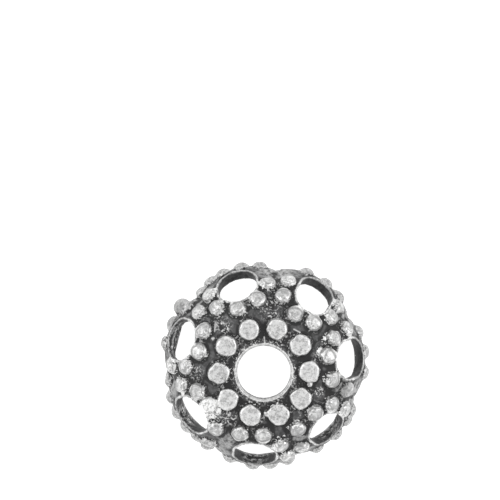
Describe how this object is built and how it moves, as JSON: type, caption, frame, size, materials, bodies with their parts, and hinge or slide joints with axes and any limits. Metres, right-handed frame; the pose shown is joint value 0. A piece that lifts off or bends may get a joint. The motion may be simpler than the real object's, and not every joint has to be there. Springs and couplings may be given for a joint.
{
  "type": "bead cap",
  "caption": "Domed, lobed bead cap with a central bore, a pierced opening in each lobe and raised granules, hollow below to sit over the end of a round bead.",
  "frame": {"origin": "on the bore's axis, in the plane of the rim that the cap rests on", "axes": "+Z along the bore, out of the top of the dome; the first lobe lies 6.5 degrees from +X towards +Y"},
  "size_m": [0.014, 0.014, 0.005],
  "materials": {
    "antique_silver": "cast alloy with antique silver plating: oxidised nearly black in the field and hollow, rubbed bright on the granules, lips and rim"
  },
  "bodies": {
    "root": {"cap": "antique_silver"}
  },
  "joints": []
}
